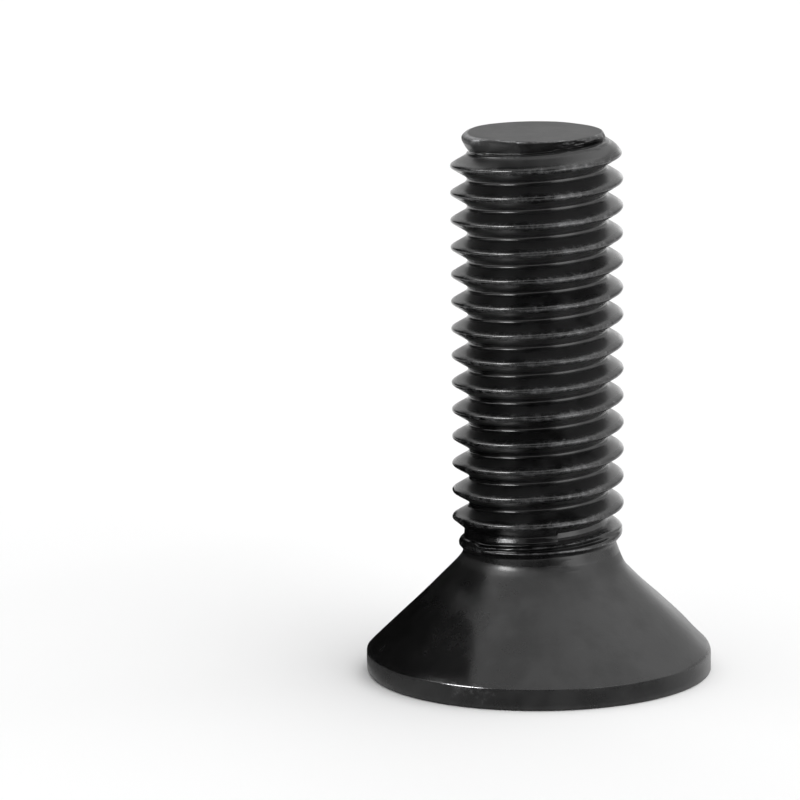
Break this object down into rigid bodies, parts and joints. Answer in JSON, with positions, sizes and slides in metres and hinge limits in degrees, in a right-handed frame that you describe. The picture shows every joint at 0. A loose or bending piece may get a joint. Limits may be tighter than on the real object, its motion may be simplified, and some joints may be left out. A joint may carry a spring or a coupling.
{
  "type": "countersunk socket screw",
  "caption": "Countersunk flat head screw with a hexagon socket, a 90 degree cone, a short neck and a coarse right-hand thread to a chamfered end, in black oxide steel.",
  "frame": {"origin": "centre of the head's flat face, which is also the bottom of the part as it stands on its head", "axes": "+Z along the screw's axis from the head's flat face to the threaded end, +X across two opposite corners of the hexagon socket"},
  "size_m": [0.0159, 0.0158, 0.025],
  "materials": {
    "black_oxide_steel": "satin black oxide over forged and rolled steel"
  },
  "bodies": {
    "root": {"countersunk_screw": "black_oxide_steel"}
  },
  "joints": []
}
